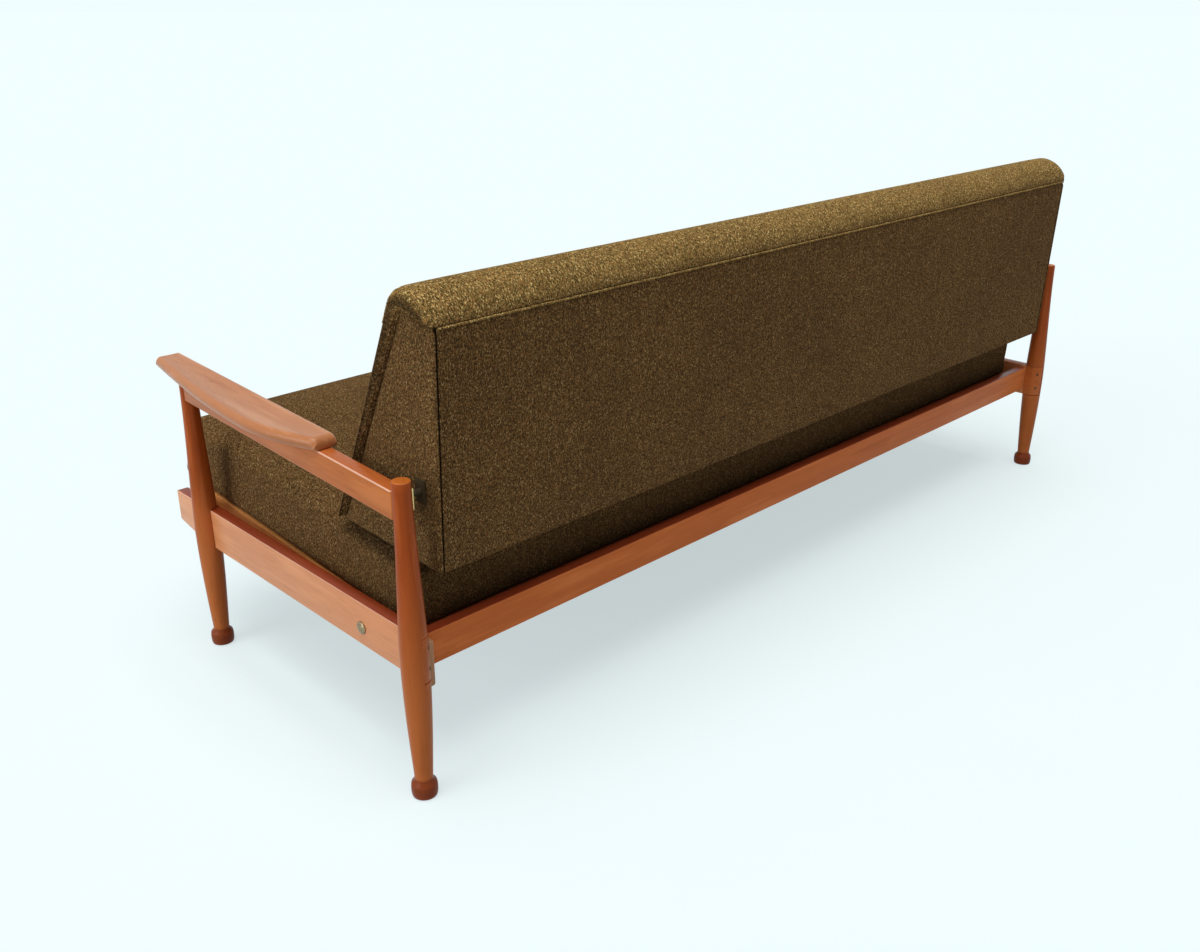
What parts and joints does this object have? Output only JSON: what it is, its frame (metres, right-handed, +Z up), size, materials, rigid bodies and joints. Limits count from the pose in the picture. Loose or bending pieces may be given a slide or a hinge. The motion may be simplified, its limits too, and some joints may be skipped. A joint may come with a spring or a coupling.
{
  "type": "sofa",
  "caption": "Long sofa bed with a turned wooden show frame, paddle armrests, one tilted mattress seat and a wedge-shaped upholstered back that swings over to the rear.",
  "frame": {"origin": "on the floor, under the middle of the whole object", "axes": "+X to the sitter's left, along the length; +Y to the rear, -Y is the front; +Z up"},
  "size_m": [2.092, 0.8267, 0.7979],
  "materials": {
    "show_wood": "satin varnish, warm orange brown",
    "pale_wood": "unfinished pale wood",
    "plywood": "unfinished plywood",
    "tweed": "olive brown woven tweed",
    "webbing": "matt rubber webbing",
    "brass": "dull brass",
    "steel": "dull steel"
  },
  "bodies": {
    "frame": {"front_rail": "show_wood", "left_arm_rail": "show_wood", "left_armrest": "show_wood", "left_bolt_spacer": "pale_wood", "left_corner_block": "show_wood", "left_front_post": "show_wood", "left_housing_screw_1": "steel", "left_housing_screw_2": "steel", "left_pivot_pin": "steel", "left_plate_screw_1": "steel", "left_plate_screw_2": "steel", "left_post_plate": "brass", "left_rail_bolt": "steel", "left_rear_post": "show_wood", "left_side_rail": "show_wood", "mattress": "tweed", "rear_ledger": "pale_wood", "rear_rail": "show_wood", "right_arm_rail": "show_wood", "right_armrest": "show_wood", "right_bolt_spacer": "pale_wood", "right_front_post": "show_wood", "right_housing_screw_1": "steel", "right_housing_screw_2": "steel", "right_pivot_pin": "steel", "right_plate_screw_1": "steel", "right_plate_screw_2": "steel", "right_post_plate": "brass", "right_rail_bolt": "steel", "right_rear_post": "show_wood", "right_side_rail": "show_wood", "seat_frame_front": "pale_wood", "seat_frame_left": "pale_wood", "seat_frame_rear": "pale_wood", "seat_frame_right": "pale_wood", "webbing_strap_1": "webbing", "webbing_strap_2": "webbing", "webbing_strap_3": "webbing", "webbing_strap_4": "webbing", "webbing_strap_5": "webbing", "webbing_strap_6": "webbing", "webbing_strap_7": "webbing"},
    "back": {"back_bottom_board": "plywood", "back_front_panel": "plywood", "back_left_side_panel": "tweed", "back_pad": "tweed", "back_rear_panel": "tweed", "back_rib_1": "plywood", "back_rib_2": "plywood", "back_rib_3": "plywood", "back_rib_4": "plywood", "back_rib_5": "plywood", "back_right_side_panel": "tweed", "back_top_rail": "pale_wood", "left_back_plate": "steel", "right_back_plate": "steel"}
  },
  "joints": [
    {"name": "back_swing", "type": "hinge", "parent": "frame", "child": "back", "pos_m": [0, 0.36965, 0.4995], "axis": [-1, 0, 0], "range_deg": [0, 165]}
  ]
}
